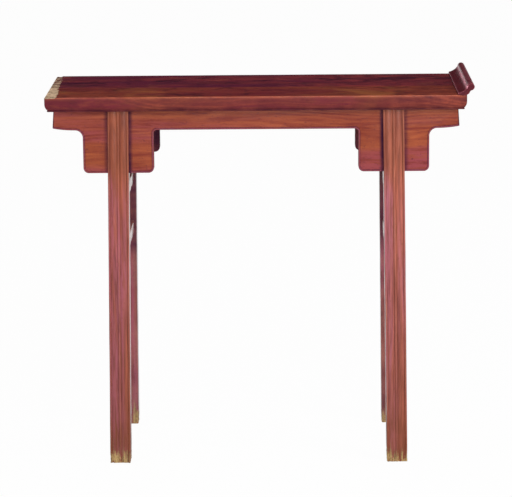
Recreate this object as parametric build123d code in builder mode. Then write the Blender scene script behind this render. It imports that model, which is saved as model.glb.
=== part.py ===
from build123d import *
import os

# Recessed-leg altar table: a plank top with one everted end flange, beaded aprons and
# spandrels clasped in bridle joints by four moulded legs, and two stretchers at each end.
# Millimetres. X runs along the table, Y from front to rear, Z up. The origin is on the
# floor, at the middle of the overall length and of the width.

# Overall sizes
table_length = 928.0
table_width = 300.0
table_height = 840.0
top_thickness = 33.0

# Top: two boards joined edge to edge
board_seam_y = -24.0
dowel_radius = 4.0
dowel_length = 44.0
dowel_spacing = 220.0
dowel_count = 4

# Moulded edge of the top: an upright band, a cove that sweeps in, and a bead at the foot
arris_radius = 1.5
edge_band = 15.0
edge_sweep_in = 5.0
edge_foot_in = 7.0
edge_foot_bead = 4.5

# Everted flange on the right end, and the pegs that hold it
flange_base = 20.0
flange_height = 25.6
flange_step = 4.4
flange_step_round = 1.5
flange_hollow = 2.6
flange_belly = 1.4
flange_quirk_out = 6.6
flange_quirk_up = 7.4
roll_radius = 8.0
roll_sweep = 255.0
lip_reach = 16.5
flange_end_inset = 0.4
seat_depth = 1.5
peg_radius = 3.0
peg_in_board = 15.0
peg_in_flange = 8.0
peg_from_end = 7.0
peg_spacing = 100.0
peg_count = 3

# Legs, placed from the ends and the long edges of the top
leg_end_inset = 160.0
leg_setback = 16.0
leg_width = 46.5
leg_depth = 36.0
end_splay = 0.013
side_splay = 0.036
leg_edge_bead = 4.6
leg_centre_bead = 6.2
moulding_depth = 2.2
panel_crest = 0.9
tenon_width = 28.0
tenon_thickness = 7.5
tenon_length = 22.0
tenon_shoulder = 1.0

# Aprons and spandrels
leg_proud = 5.0
apron_thickness = 20.0
notch_depth = 8.0
apron_height = 44.0
apron_end_height = 39.5
apron_end_inset = 16.0
bead_width = 4.6
bead_chamfer = 0.9
field_depth = 1.2
spandrel_width = 156.6
spandrel_drop = 140.0
outer_fillet = 17.0
inner_fillet = 8.0
spandrel_corner = 12.0
tongue_length = 120.0
tongue_height = 6.0
tongue_thickness = 5.0

# Battens under the top
batten_from_leg = 54.0
batten_width = 34.0
batten_depth = 20.0
batten_end_gap = 1.0
dovetail_mouth = 18.0
dovetail_crown = 24.0
dovetail_height = 8.0

# End stretchers
stretcher_heights = {"upper": 613.0, "lower": 491.0}
stretcher_width = 36.5
stretcher_height = 29.0
stretcher_round = 5.0
stretcher_tenon_width = 11.0
stretcher_tenon_height = 18.0
stretcher_tenon_length = 16.0

# Clearance round every tenon, tongue and peg
joint_gap = 0.1

# Places that follow from the sizes
middle_x = -lip_reach / 2
end_x = table_length / 2
shoulder_z = table_height - top_thickness
board_middle_z = table_height - top_thickness / 2
seat_z = table_height - seat_depth
leg_x = end_x - leg_end_inset
leg_face_y = table_width / 2 - leg_setback
apron_web = apron_thickness - notch_depth
apron_face_y = leg_face_y - leg_proud
apron_end_x = end_x - apron_end_inset
spandrel_x = leg_x + end_splay * spandrel_drop / 2
batten_half = apron_face_y - apron_thickness - batten_end_gap
front_cheek = leg_proud + notch_depth
trim = bead_width + apron_thickness

ends = {"left": -1, "right": 1}
sides = {"front": -1, "rear": 1}


def level(z):
    """Horizontal plane at height z, centred on the table"""
    return Plane(origin=(middle_x, 0, z))


def facing_front(y, z):
    """Upright plane across the table at y, with its origin at height z"""
    return Plane(origin=(middle_x, y, z), x_dir=(1, 0, 0), z_dir=(0, -1, 0))


def facing_end(z):
    """Upright plane along the width at the table's middle, with its origin at height z"""
    return Plane(origin=(middle_x, 0, z), x_dir=(0, 1, 0), z_dir=(1, 0, 0))


def side_plane(out, y):
    """Plane tilted with the legs that crosses y at the shoulder; local y = 0 is that line"""
    return Plane(origin=(middle_x, out * y, shoulder_z), x_dir=(-out, 0, 0), z_dir=(0, out, side_splay))


def end_apron_plane(across):
    """Outer face of an end apron, tilted like the long aprons"""
    origin = (middle_x + across * apron_end_x, 0, shoulder_z)
    return Plane(origin=origin, x_dir=(0, across, 0), z_dir=(across, 0, side_splay))


def mitre_plane(across, out):
    """Upright 45 degree plane through an outer corner; its positive side is the long apron"""
    origin = (middle_x + across * apron_end_x, out * apron_face_y, shoulder_z)
    return Plane(origin=origin, z_dir=(-across, out, 0))


def leg_centre_x(z):
    """Distance of a leg's centre from the table's middle at height z"""
    return leg_x + end_splay * (shoulder_z - z)


def leg_inner_y(z):
    """Distance of a leg's inner face from the table's middle at height z"""
    return leg_face_y - leg_depth + side_splay * (shoulder_z - z)


def top_section(width):
    """Section of the top: flat above and below, both edges moulded; y = 0 is the surface"""
    half = width / 2
    bead_y = edge_foot_bead - top_thickness
    foot = half - edge_foot_in
    with BuildSketch() as section:
        with BuildLine():
            Line((0, 0), (half - arris_radius, 0))
            TangentArc((half - arris_radius, 0), (half, -arris_radius), tangent=(1, 0))
            Line((half, -arris_radius), (half, -edge_band))
            TangentArc((half, -edge_band), (half - edge_sweep_in, bead_y), tangent=(0, -1))
            Line((half - edge_sweep_in, bead_y), (foot, bead_y))
            bead_crest = (foot + edge_foot_bead / 2, bead_y - edge_foot_bead / 2)
            ThreePointArc((foot, bead_y), bead_crest, (foot, -top_thickness))
            Line((foot, -top_thickness), (0, -top_thickness))
            mirror(about=Plane.YZ)
        make_face()
    return section.sketch


def dovetail(growth):
    """Corners of a batten's dovetail; y = 0 is the underside of the top"""
    mouth = dovetail_mouth / 2 + growth
    crown = dovetail_crown / 2 + growth
    crown_y = dovetail_height + growth
    return [(-mouth, 0), (mouth, 0), (crown, crown_y), (-crown, crown_y)]


# Section of the flange; (0, 0) is the upper edge of the top's end. A low step, a hollow
# that sweeps up and out, a lip that rolls under to a quirk, and a belly back to that edge
with BuildSketch() as flange_section:
    roll_x = lip_reach - roll_radius
    roll_y = flange_height - roll_radius
    hollow_start = (flange_step_round - flange_base, flange_step)
    with BuildLine():
        Polyline((0, 0), (0, -seat_depth), (-flange_base, -seat_depth))
        Line((-flange_base, -seat_depth), (-flange_base, flange_step - flange_step_round))
        TangentArc((-flange_base, flange_step - flange_step_round), hollow_start, tangent=(0, 1))
        roll = CenterArc((roll_x, roll_y), roll_radius, 180, -roll_sweep)
        SagittaArc(hollow_start, roll @ 0, -flange_hollow)
        Line(roll @ 1, (flange_quirk_out, flange_quirk_up))
        SagittaArc((flange_quirk_out, flange_quirk_up), (0, 0), flange_belly)
    make_face()

# Horizontal section of a leg, its moulded face towards -Y: a bead at each edge and in the
# middle, and two slightly crowned faces between them
with BuildSketch() as leg_section:
    half_leg = leg_width / 2
    leg_front = -leg_depth / 2
    groove_y = leg_front + moulding_depth
    stops = [-half_leg, leg_edge_bead - half_leg, -leg_centre_bead / 2]
    stops += [-stop for stop in reversed(stops)]
    crests = [0, panel_crest, 0, panel_crest, 0]
    with BuildLine():
        for start, stop, crest in zip(stops, stops[1:], crests):
            ThreePointArc((start, groove_y), ((start + stop) / 2, leg_front + crest), (stop, groove_y))
        Polyline((half_leg, groove_y), (half_leg, -leg_front), (-half_leg, -leg_front), (-half_leg, groove_y))
    make_face()

# One long side seen from outside: the apron, whose wings rise to the ends, with both
# spandrels. The top and the ends run on by the trim and are cut off later
outer_side = spandrel_x + spandrel_width / 2
inner_side = spandrel_x - spandrel_width / 2
outer_toe = outer_side + outer_fillet
inner_toe = inner_side - inner_fillet
corner_y = spandrel_corner - spandrel_drop
with BuildSketch() as side_outline:
    with BuildLine():
        Line((0, -apron_height), (inner_toe, -apron_height))
        TangentArc((inner_toe, -apron_height), (inner_side, -apron_height - inner_fillet), tangent=(1, 0))
        Line((inner_side, -apron_height - inner_fillet), (inner_side, corner_y))
        TangentArc((inner_side, corner_y), (inner_side + spandrel_corner, -spandrel_drop), tangent=(0, -1))
        Line((inner_side + spandrel_corner, -spandrel_drop), (outer_side - spandrel_corner, -spandrel_drop))
        TangentArc((outer_side - spandrel_corner, -spandrel_drop), (outer_side, corner_y), tangent=(1, 0))
        Line((outer_side, corner_y), (outer_side, -apron_height - outer_fillet))
        TangentArc((outer_side, -apron_height - outer_fillet), (outer_toe, -apron_height), tangent=(0, 1))
        wing = TangentArc((outer_toe, -apron_height), (apron_end_x, -apron_end_height), tangent=(1, 0))
        wing_tip = wing @ 1 + (wing % 1) * 2 * trim
        Polyline(wing @ 1, wing_tip, (wing_tip.X, trim), (0, trim))
        mirror(about=Plane.YZ)
    make_face()

# Sunk field inside the bead that follows the lower edge of apron and spandrels
with BuildSketch() as field:
    add(side_outline.sketch)
    offset(amount=-bead_width)

# Region of both spandrels; their heads rise through the apron's bead with mitred shoulders
head_y = bead_width - apron_height
with BuildSketch() as spandrel_region:
    Polygon(
        (inner_toe, -spandrel_drop - trim),
        (outer_toe, -spandrel_drop - trim),
        (outer_toe, -apron_height),
        (outer_toe - bead_width, head_y),
        (inner_toe + bead_width, head_y),
        (inner_toe, -apron_height),
    )
    mirror(about=Plane.YZ)

# Where the legs' front cheeks are let into the face of the aprons and spandrels
notch_half = leg_width / 2 + joint_gap
notch_foot_x = leg_x + end_splay * (spandrel_drop + trim)
notch_head_x = leg_x - end_splay * trim
with BuildSketch() as cheek_notches:
    Polygon(
        (notch_head_x - notch_half, trim),
        (notch_foot_x - notch_half, -spandrel_drop - trim),
        (notch_foot_x + notch_half, -spandrel_drop - trim),
        (notch_head_x + notch_half, trim),
    )
    mirror(about=Plane.YZ)

dowel_places = [(dowel_spacing * (i - (dowel_count - 1) / 2), 0) for i in range(dowel_count)]
peg_rows = [peg_spacing * (i - (peg_count - 1) / 2) for i in range(peg_count)]
peg_places = {end: [(across * (end_x - peg_from_end), y) for y in peg_rows] for end, across in ends.items()}
batten_x = leg_x - batten_from_leg
batten_places = {"left": -batten_x, "middle": 0, "right": batten_x}
tenon_depths = [
    front_cheek - tenon_shoulder - tenon_thickness / 2,
    leg_depth - tenon_shoulder - tenon_thickness / 2,
]
bead_edge = min(bead_chamfer, 0.8 * field_depth, 0.4 * bead_width)
stretcher_edge = min(stretcher_round, 0.45 * stretcher_width, 0.45 * stretcher_height)

os.makedirs("parts", exist_ok=True)

# The whole top in one piece, before it is divided into boards
with BuildPart() as top_slab:
    with BuildSketch(facing_end(table_height)):
        add(top_section(table_width))
    extrude(amount=table_length, both=True)
    with BuildSketch(facing_front(0, table_height)):
        add(top_section(table_length))
    extrude(amount=table_width, both=True, mode=Mode.INTERSECT)

# Top boards: mortises for the leg tenons, dovetail grooves, dowel and peg holes, and the
# sunk seat of a flange at either end
seam_plane = Plane(origin=(0, board_seam_y, 0), z_dir=(0, 1, 0))
for side, out in sides.items():
    with BuildPart() as board:
        add(top_slab.part)
        split(bisect_by=seam_plane, keep=Keep.TOP if out > 0 else Keep.BOTTOM)
        with BuildSketch(level(shoulder_z)):
            for depth in tenon_depths:
                mortise_y = out * (leg_face_y - depth)
                with Locations((-leg_x, mortise_y), (leg_x, mortise_y)):
                    Rectangle(tenon_width + 2 * joint_gap, tenon_thickness + 2 * joint_gap)
        extrude(amount=tenon_length + joint_gap, mode=Mode.SUBTRACT)
        with BuildSketch(facing_front(0, shoulder_z)):
            with Locations(*[(x, 0) for x in batten_places.values()]):
                Polygon(*dovetail(joint_gap))
        extrude(amount=batten_half + joint_gap, both=True, mode=Mode.SUBTRACT)
        with BuildSketch(facing_front(board_seam_y, board_middle_z)):
            with Locations(*dowel_places):
                Circle(dowel_radius + joint_gap)
        extrude(amount=dowel_length / 2 + joint_gap, both=True, mode=Mode.SUBTRACT)
        with BuildSketch(level(seat_z)):
            with Locations((-end_x, 0), (end_x, 0)):
                Rectangle(2 * flange_base, 2 * table_width)
        extrude(amount=table_height, mode=Mode.SUBTRACT)
        with BuildSketch(level(seat_z)):
            with Locations(*peg_places["left"], *peg_places["right"]):
                Circle(peg_radius + joint_gap)
        extrude(amount=-peg_in_board - joint_gap, mode=Mode.SUBTRACT)
    board.part.label = f"top_board_{side}"
    export_step(board.part, f"parts/{board.part.label}.step")

# Dowels across the seam between the boards
with BuildPart() as board_dowels:
    with BuildSketch(facing_front(board_seam_y, board_middle_z)):
        with Locations(*dowel_places):
            Circle(dowel_radius)
    extrude(amount=dowel_length / 2, both=True)
board_dowels.part.label = "board_dowels"
export_step(board_dowels.part, "parts/board_dowels.step")

# Everted flange, bored from below for its pegs
with BuildPart() as flange:
    with BuildSketch(facing_front(0, table_height)):
        with Locations((end_x, 0)):
            add(flange_section.sketch)
    extrude(amount=table_width / 2 - flange_end_inset, both=True)
    with BuildSketch(level(seat_z)):
        with Locations(*peg_places["right"]):
            Circle(peg_radius + joint_gap)
    extrude(amount=peg_in_flange + joint_gap, mode=Mode.SUBTRACT)
flange.part.label = "flange_right"
export_step(flange.part, "parts/flange_right.step")

# Pegs that hold the right flange down, and the stubs of those broken off with the left one
for name, end, peg_top in [("flange_pegs", "right", peg_in_flange), ("broken_pegs", "left", 0)]:
    with BuildPart() as pegs:
        with BuildSketch(level(seat_z - peg_in_board)):
            with Locations(*peg_places[end]):
                Circle(peg_radius)
        extrude(amount=peg_in_board + peg_top)
    pegs.part.label = name
    export_step(pegs.part, f"parts/{name}.step")

# Battens that slide into the dovetail grooves and keep the top flat
for place, x in batten_places.items():
    with BuildPart() as batten:
        with BuildSketch(facing_front(0, shoulder_z)):
            with Locations((x, 0)):
                Polygon(*dovetail(0))
                Rectangle(batten_width, batten_depth, align=(Align.CENTER, Align.MAX))
        extrude(amount=batten_half, both=True)
    batten.part.label = f"batten_{place}"
    export_step(batten.part, f"parts/{batten.part.label}.step")

# Legs: splayed both ways, forked at the head to clasp apron and spandrel, with two tenons
# into the top and two mortises for the stretchers
for end, across in ends.items():
    for side, out in sides.items():
        lean = Vector(across * end_splay, out * side_splay, -1)
        with BuildPart() as leg:
            with BuildSketch(level(shoulder_z)):
                with Locations((across * leg_x, out * (leg_face_y - leg_depth / 2))):
                    add(leg_section.sketch, rotation=0 if out < 0 else 180)
            extrude(amount=shoulder_z * lean.length, dir=lean)
            with BuildSketch(side_plane(out, apron_face_y).offset(-notch_depth)):
                with Locations((-out * across * leg_x, trim)):
                    Rectangle(2 * leg_width, spandrel_drop + trim, align=(Align.CENTER, Align.MAX))
            extrude(amount=-apron_web, mode=Mode.SUBTRACT)
            with BuildSketch(level(shoulder_z)):
                for depth in tenon_depths:
                    with Locations((across * leg_x, out * (leg_face_y - depth))):
                        Rectangle(tenon_width, tenon_thickness)
            extrude(amount=tenon_length)
            for z in stretcher_heights.values():
                with BuildSketch(facing_front(0, z)):
                    with Locations((across * leg_centre_x(z), 0)):
                        Rectangle(stretcher_tenon_width + 2 * joint_gap, stretcher_tenon_height + 2 * joint_gap)
                reach = leg_inner_y(z) + stretcher_tenon_length + joint_gap
                extrude(amount=reach, both=True, mode=Mode.SUBTRACT)
        leg.part.label = f"leg_{side}_{end}"
        export_step(leg.part, f"parts/{leg.part.label}.step")

# Aprons and spandrels of the long sides: moulded as one sheet, notched for the legs, then
# parted along the mitred shoulders, with a tongue on each spandrel's head
for side, out in sides.items():
    face = side_plane(out, apron_face_y)
    tongue_plane = face.offset(-notch_depth - (apron_web - tongue_thickness) / 2)
    with BuildPart() as sheet:
        with BuildSketch(face):
            add(side_outline.sketch)
        extrude(amount=-apron_thickness)
        with BuildSketch(face):
            add(field.sketch)
        extrude(amount=-field_depth, mode=Mode.SUBTRACT)
        bead_face = faces().sort_by(Axis(face.origin, face.z_dir))[-1]
        chamfer(bead_face.edges(), bead_edge)
        with BuildSketch(face):
            add(cheek_notches.sketch)
        extrude(amount=-notch_depth, mode=Mode.SUBTRACT)

    with BuildPart() as apron:
        add(sheet.part)
        with BuildSketch(face):
            add(spandrel_region.sketch)
        extrude(amount=-apron_thickness, mode=Mode.SUBTRACT)
        with BuildSketch(tongue_plane.offset(joint_gap)):
            with Locations((-spandrel_x, head_y), (spandrel_x, head_y)):
                Rectangle(
                    tongue_length + 2 * joint_gap, tongue_height + joint_gap, align=(Align.CENTER, Align.MIN)
                )
        extrude(amount=-tongue_thickness - 2 * joint_gap, mode=Mode.SUBTRACT)
        split(bisect_by=level(shoulder_z), keep=Keep.BOTTOM)
        for across in ends.values():
            split(bisect_by=mitre_plane(across, out), keep=Keep.TOP)
    apron.part.label = f"apron_{side}"
    export_step(apron.part, f"parts/{apron.part.label}.step")

    for end, across in ends.items():
        with BuildPart() as spandrel:
            add(sheet.part)
            with BuildSketch(face):
                add(spandrel_region.sketch)
            extrude(amount=-apron_thickness, mode=Mode.INTERSECT)
            split(bisect_by=facing_end(0), keep=Keep.TOP if across > 0 else Keep.BOTTOM)
            with BuildSketch(tongue_plane):
                with Locations((-out * across * spandrel_x, head_y)):
                    Rectangle(tongue_length, tongue_height, align=(Align.CENTER, Align.MIN))
            extrude(amount=-tongue_thickness)
        spandrel.part.label = f"spandrel_{side}_{end}"
        export_step(spandrel.part, f"parts/{spandrel.part.label}.step")

# End aprons between the mitred ends of the long aprons
for end, across in ends.items():
    face = end_apron_plane(across)
    slab_width = 2 * (apron_face_y + trim)
    with BuildPart() as end_apron:
        with BuildSketch(face):
            with Locations((0, -apron_end_height)):
                Rectangle(slab_width, apron_end_height + trim, align=(Align.CENTER, Align.MIN))
        extrude(amount=-apron_thickness)
        with BuildSketch(face):
            with Locations((0, bead_width - apron_end_height)):
                Rectangle(slab_width, apron_end_height + trim, align=(Align.CENTER, Align.MIN))
        extrude(amount=-field_depth, mode=Mode.SUBTRACT)
        bead_face = faces().sort_by(Axis(face.origin, face.z_dir))[-1]
        chamfer(bead_face.edges().filter_by(Axis.Y), bead_edge)
        split(bisect_by=level(shoulder_z), keep=Keep.BOTTOM)
        for out in sides.values():
            split(bisect_by=mitre_plane(across, out), keep=Keep.BOTTOM)
    end_apron.part.label = f"end_apron_{end}"
    export_step(end_apron.part, f"parts/{end_apron.part.label}.step")

# Stretchers between the front and rear leg of each end, shouldered to the legs' slant
for end, across in ends.items():
    for height, z in stretcher_heights.items():
        stretcher_x = across * leg_centre_x(z)
        with BuildPart() as stretcher:
            with BuildSketch(facing_front(0, z)):
                with Locations((stretcher_x, 0)):
                    RectangleRounded(stretcher_width, stretcher_height, stretcher_edge)
            extrude(amount=table_width, both=True)
            for out in sides.values():
                split(bisect_by=side_plane(out, leg_face_y - leg_depth), keep=Keep.BOTTOM)
            with BuildSketch(facing_front(0, z)):
                with Locations((stretcher_x, 0)):
                    Rectangle(stretcher_tenon_width, stretcher_tenon_height)
            extrude(amount=leg_inner_y(z) + stretcher_tenon_length, both=True)
        stretcher.part.label = f"stretcher_{height}_{end}"
        export_step(stretcher.part, f"parts/{stretcher.part.label}.step")
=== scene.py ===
import bmesh
import bpy
import numpy as np
from mathutils import Matrix


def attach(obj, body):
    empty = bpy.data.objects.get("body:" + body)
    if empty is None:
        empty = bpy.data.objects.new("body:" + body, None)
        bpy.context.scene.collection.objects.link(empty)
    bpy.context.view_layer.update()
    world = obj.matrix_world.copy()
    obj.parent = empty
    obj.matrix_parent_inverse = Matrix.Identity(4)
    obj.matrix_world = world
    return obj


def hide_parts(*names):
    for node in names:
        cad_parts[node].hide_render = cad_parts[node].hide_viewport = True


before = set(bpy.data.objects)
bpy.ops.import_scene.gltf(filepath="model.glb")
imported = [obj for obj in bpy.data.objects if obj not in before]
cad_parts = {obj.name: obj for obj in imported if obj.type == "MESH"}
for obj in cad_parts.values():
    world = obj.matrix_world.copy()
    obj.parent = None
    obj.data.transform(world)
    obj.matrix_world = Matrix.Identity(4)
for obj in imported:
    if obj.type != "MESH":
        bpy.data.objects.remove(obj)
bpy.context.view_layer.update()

# --- Top boards ---
# Two hardwood boards dowelled edge to edge under a thin maroon lacquer, with a moulded edge: an upright
# band, a round that turns under, and a bead. Both ends are sunk for a flange, and the left one shows torn
# bare wood where its flange came off. Sizes are in millimetres.

table_middle = -8.25
top_half_length = 464.0
top_half_width = 150.0
top_z = 840.0
top_thick = 33.0
shoulder_z = top_z - top_thick
seam_y = -24.0
seat_deep, seat_step, seat_foot = 1.5, 19.8, 19.4
torn_width, torn_skew = 20.5, 5.0
arris = 1.5
band_foot = -15.0
sweep_radius, sweep_turn = 20.725, 0.7095
ledge_inset, ledge_z = 6.2, -28.5
foot_inset, foot_bead = 7.0, 2.25
lower_inset = 9.0


def closed_mesh(name, grids, loops=()):
    """Joins neighbouring points of each grid by quads and fills each loop with one face; points that fall
    together become one. A point is x, y, z, then how rubbed, grimy and bare the wood is there, 0 to 1;
    the rubbed mark also carries painted highlight, and the grimy mark painted shade."""
    faces, start = [], 0
    for grid in grids:
        rows, columns = grid.shape[:2]
        index = start + np.arange(rows * columns).reshape(rows, columns)
        corners = [index[:-1, :-1], index[:-1, 1:], index[1:, 1:], index[1:, :-1]]
        faces += np.stack(corners, -1).reshape(-1, 4).tolist()
        start += rows * columns
    for loop in loops:
        faces.append(list(range(start, start + len(loop))))
        start += len(loop)
    points = np.concatenate([np.reshape(part, (-1, 6)) for part in [*grids, *loops]])
    mesh = bpy.data.meshes.new(name)
    mesh.from_pydata(points[:, :3] / 1000, [], faces)
    for column, mark in enumerate(("wear_and_highlight", "grime_and_shade", "bare"), 3):
        layer = mesh.attributes.new(mark, "FLOAT", "POINT")
        layer.data.foreach_set("value", points[:, column].astype(np.float32))
    shell = bmesh.new()
    shell.from_mesh(mesh)
    bmesh.ops.remove_doubles(shell, verts=shell.verts, dist=2e-6)
    bmesh.ops.recalc_face_normals(shell, faces=shell.faces)
    shell.to_mesh(mesh)
    shell.free()
    mesh.shade_smooth()
    mesh.set_sharp_from_angle(angle=np.radians(38))
    piece = bpy.data.objects.new(name, mesh)
    bpy.context.scene.collection.objects.link(piece)
    return piece


def spread(*columns):
    """Stacks values or arrays of matching shape into points, the last axis running over the columns."""
    return np.stack(np.broadcast_arrays(*columns), -1).astype(float)


def unevenness(x, y, pitch, seed):
    """Smooth random height of about -1 to 1: a quarter of the sum of twelve sine waves, whose lengths lie
    round the pitch and whose directions and phases come from the seed."""
    rng = np.random.default_rng(seed)
    turns = rng.uniform(0, 2 * np.pi, 12)
    lengths = pitch * rng.uniform(0.5, 1.8, 12)
    phases = rng.uniform(0, 7, 12)
    height = 0.0
    for turn, length, phase in zip(turns, lengths, phases):
        height = height + np.sin(2 * np.pi * (x * np.cos(turn) + y * np.sin(turn)) / length + phase)
    return height / 4


def smooth_step(x, low, high):
    """0 below low, 1 above high, and an S-curve between."""
    t = np.clip((x - low) / (high - low), 0, 1)
    return t * t * (3 - 2 * t)


def top_relief(x, y):
    """Height of the top's surface against its nominal plane, and how bare it is: slight hollows everywhere,
    a plain step down at the right end, and at the left a torn step whose edge wanders."""
    from_left = x - table_middle + top_half_length
    torn_to = torn_width - torn_skew * y / top_half_width + 2.2 * unevenness(0 * y, y, pitch=34, seed=1)
    torn_to = torn_to + 0.8 * unevenness(0 * y, y, pitch=7, seed=2)
    torn = smooth_step(torn_to - from_left, 0, 1.3)
    right_seat = smooth_step(from_left, 2 * top_half_length - seat_step, 2 * top_half_length - seat_foot)
    hollows = -0.12 * (1 + unevenness(x, y * 2, pitch=160, seed=3) / 2)
    fibres = 0.28 * unevenness(x * 0.12, y, pitch=2.6, seed=4) - 0.3 * unevenness(x, y, pitch=18, seed=5) ** 2
    sunk = seat_deep * np.maximum(torn, right_seat)
    return hollows * (1 - torn) - sunk + torn * np.minimum(fibres, 0.5), torn


# The edge's profile from the upper face to the lower one. A row is how far it is drawn in, its height
# against the upper face, and how worn and grimy it is. The grime on the upright band and the round
# is painted shade that darkens the band against the upper face, and the grime on the ledge and the
# bead under it is a painted shadow line under the moulding.
edge_turn = np.linspace(0, np.pi / 2, 6)
round_turn = np.linspace(0, sweep_turn, 9)[1:]
bead_turn = np.linspace(-np.pi / 2, np.pi / 2, 11)
upper_arris = spread(arris - arris * np.sin(edge_turn), arris * np.cos(edge_turn) - arris,
                     np.sin(edge_turn * 2) * 0.6 + 0.3, 0.0)
band = np.array([[0, -3, 0.35, 0.34], [0, -6, 0.1, 0.52], [0, -10, 0, 0.58], [0, band_foot, 0, 0.58]])
turned_under = spread(sweep_radius - sweep_radius * np.cos(round_turn),
                       band_foot - sweep_radius * np.sin(round_turn), 0.0, 0.52 + 0.15 * round_turn ** 2)
foot_beading = spread(foot_inset - foot_bead * np.cos(bead_turn),
                      foot_bead - top_thick - foot_bead * np.sin(bead_turn), np.cos(bead_turn) * 0.1, 0.9)
edge_profile = np.concatenate([
    upper_arris,
    band,
    turned_under,
    [[ledge_inset, ledge_z, 0, 1.0]],
    foot_beading,
    [[lower_inset, -top_thick, 0, 0.8]],
])

# Shares of the length and of the width at which the surface has points. They lie closest together over the
# torn seat, and two of them mark the step of the seat at the right end.
fine_to, coarse_to = 34, 908
fine, coarse = np.linspace(0, fine_to, 52), np.linspace(fine_to, coarse_to, 150)[1:]
along = np.concatenate([fine, coarse, [908.3, 908.7, 918, 928]]) / (2 * top_half_length)
across = np.linspace(0, 1, 34)


def top_board(name, out):
    """Rows of the edge profile carried round the outer edge, each drawn in by its own inset, between a grid
    for the upper face and one for the lower. u runs along the board, v from its outer edge to the seam."""
    depth = top_half_width - out * seam_y

    def place(u, v, inset, height, wear_and_highlight, grime_and_shade):
        """The surface at u and v, at a height against the upper face: rubbed down in patches where it is
        worn, dulled next to the mitres, and bare where the seat is torn."""
        x = table_middle - top_half_length + inset + u * (2 * top_half_length - 2 * inset)
        y = out * (top_half_width - inset - v * (depth - inset))
        relief, bare = top_relief(x, y)
        rub = 0.22 * wear_and_highlight * (1 + unevenness(x, y, pitch=24, seed=6))
        rub = rub + 0.5 * wear_and_highlight * smooth_step(unevenness(x, y, pitch=60, seed=7), 0.8, 1.5)
        edge_z = height - rub * (height > band_foot - 1)
        z = top_z + np.minimum(edge_z, relief - 0.4 * wear_and_highlight * (height > -2))
        from_end = top_half_length - inset - np.abs(x - table_middle)
        dulled = 0.7 * (1 - smooth_step(from_end, 0.5, 5)) * (height < -1)
        residue = 0.34 * smooth_step(y, -60, 40) + 0.14 * unevenness(x * 0.6, y, pitch=13, seed=8)
        bared = bare * np.clip(0.96 - residue, 0, 1) * (height > -2.5)
        return spread(x, y, z, wear_and_highlight, np.maximum(grime_and_shade, dulled), bared)

    u = np.concatenate([0 * across, along, 0 * across + 1])
    v = np.concatenate([across[::-1], 0 * along, across])
    inset, height, wear_and_highlight, grime_and_shade = edge_profile.T[:, :, None]
    edge = place(u[None], v[None], inset, height, wear_and_highlight, grime_and_shade)
    upper = place(along[:, None], across[None], arris, 0.0, 0.3 * (across == 0)[None], 0.0)
    lower = place(along[:, None], across[None], lower_inset, -top_thick, 0.0, 0.8)
    seam = [upper[:, -1], edge[1:-1, -1], lower[::-1, -1], edge[-2:0:-1, 0]]
    return closed_mesh(name, [edge, upper, lower], [np.concatenate(seam)])


def node(tree, kind, **settings):
    """Adds a node. A setting named i0, i1 and so on, or after an input with _ for each space, is a link
    into that input or the input's value; any other is a property of the node."""
    added = tree.nodes.new(kind)
    for key, value in settings.items():
        if key[0] == "i" and key[1:].isdigit():
            socket = added.inputs[int(key[1:])]
        else:
            socket = next((entry for entry in added.inputs if entry.name.replace(" ", "_") == key), None)
        if socket is None:
            setattr(added, key, value)
        elif isinstance(value, bpy.types.NodeSocket):
            tree.links.new(value, socket)
        else:
            socket.default_value = value
    return added


def paint(red, green, blue):
    """A colour given as it looks on a screen, 0 to 255, as the linear values that a shader takes."""
    c = np.array([red, green, blue]) / 255
    return (*np.where(c < 0.04045, c / 12.92, ((c + 0.055) / 1.055) ** 2.4), 1.0)


def math(tree, operation, first, second=0.0, third=0.0):
    """The result of a maths node."""
    return node(tree, "ShaderNodeMath", operation=operation, i0=first, i1=second, i2=third).outputs[0]


def plus(tree, first, second):
    """The sum of two values."""
    return math(tree, "ADD", first, second)


def times(tree, first, second):
    """The product of two values."""
    return math(tree, "MULTIPLY", first, second)


def ramp(tree, value, low, high, to_low=0.0, to_high=1.0):
    """Maps low..high smoothly to to_low..to_high."""
    return node(tree, "ShaderNodeMapRange", interpolation_type="SMOOTHSTEP", i0=value, i1=low, i2=high,
                i3=to_low, i4=to_high).outputs[0]


def blend(tree, share, first, second):
    """Mixes two colours; share 0 gives the first."""
    return node(tree, "ShaderNodeMix", data_type="RGBA", i0=share, i6=first, i7=second).outputs[2]


def noise(tree, where, scale, detail, roughness=0.5, distortion=0.0):
    """The height of a cloud of noise."""
    return node(tree, "ShaderNodeTexNoise", Vector=where, Scale=scale, Detail=detail, Roughness=roughness,
                Distortion=distortion).outputs[0]


def new_group(name, inputs, outputs):
    """An empty node group with named sockets, and its inner input and output nodes."""
    tree = bpy.data.node_groups.new(name, "ShaderNodeTree")
    for label, kind in inputs.items():
        tree.interface.new_socket(label, in_out="INPUT", socket_type="NodeSocket" + kind)
    for label, kind in outputs.items():
        tree.interface.new_socket(label, in_out="OUTPUT", socket_type="NodeSocket" + kind)
    return tree, tree.nodes.new("NodeGroupInput").outputs, tree.nodes.new("NodeGroupOutput").inputs


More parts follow.
